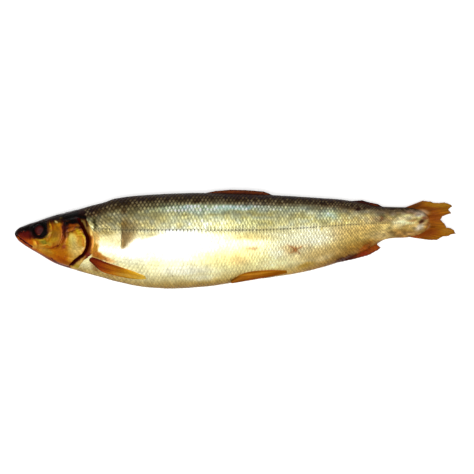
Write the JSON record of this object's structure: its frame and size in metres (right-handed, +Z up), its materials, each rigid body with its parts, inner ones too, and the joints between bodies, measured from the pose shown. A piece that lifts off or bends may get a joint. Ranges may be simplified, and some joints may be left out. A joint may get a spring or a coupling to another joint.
{
  "type": "smoked fish",
  "caption": "Whole smoked whitefish with head, fins and tail, lying on its right side with its left flank up; food to set on a plate, board or shop counter",
  "frame": {"origin": "middle of the fish's box seen from above, at the height of the table it lies on", "axes": "+X from the snout to the tail, +Y from the belly to the back, +Z up, out of the left flank that shows"},
  "size_m": [0.36, 0.0802, 0.0354],
  "materials": {
    "skin": "smoked, lightly glossy scaled skin: silvery gold flanks, dark brown back, golden brown head and fins"
  },
  "bodies": {
    "root": {"fish": "skin"}
  },
  "joints": []
}
